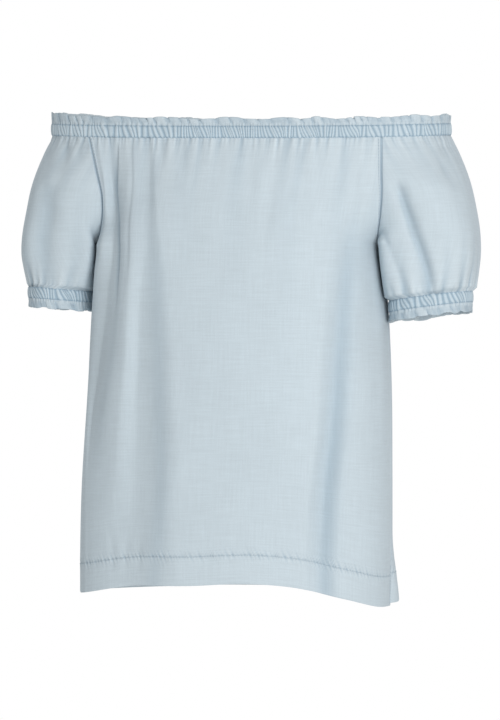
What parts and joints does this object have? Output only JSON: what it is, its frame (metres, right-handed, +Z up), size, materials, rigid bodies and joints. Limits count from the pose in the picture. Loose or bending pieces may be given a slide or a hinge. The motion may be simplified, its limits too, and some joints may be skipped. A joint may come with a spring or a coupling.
{
  "type": "off-shoulder top",
  "caption": "Off-shoulder top with a gathered elastic neckline, short puffed sleeves with elastic cuffs, and a hem with side slits, in its worn hollow form.",
  "frame": {"origin": "middle of the neckline ring, half way up its casing", "axes": "+Z up towards the neck opening, +X towards the viewer's right, the front faces -Y"},
  "size_m": [0.5074, 0.2298, 0.5448],
  "materials": {
    "washed_cotton": "light blue washed chambray, plain woven, matt",
    "gathered_band": "the same chambray gathered on elastic, a little darker in its folds"
  },
  "bodies": {
    "root": {"front_panel": "washed_cotton", "back_panel": "washed_cotton", "sleeve_left": "washed_cotton", "sleeve_right": "washed_cotton", "neck_casing": "gathered_band", "neck_frill": "washed_cotton", "cuff_casing_left": "gathered_band", "cuff_casing_right": "gathered_band", "cuff_frill_left": "washed_cotton", "cuff_frill_right": "washed_cotton", "front_hem": "washed_cotton", "back_hem": "washed_cotton"}
  },
  "joints": []
}
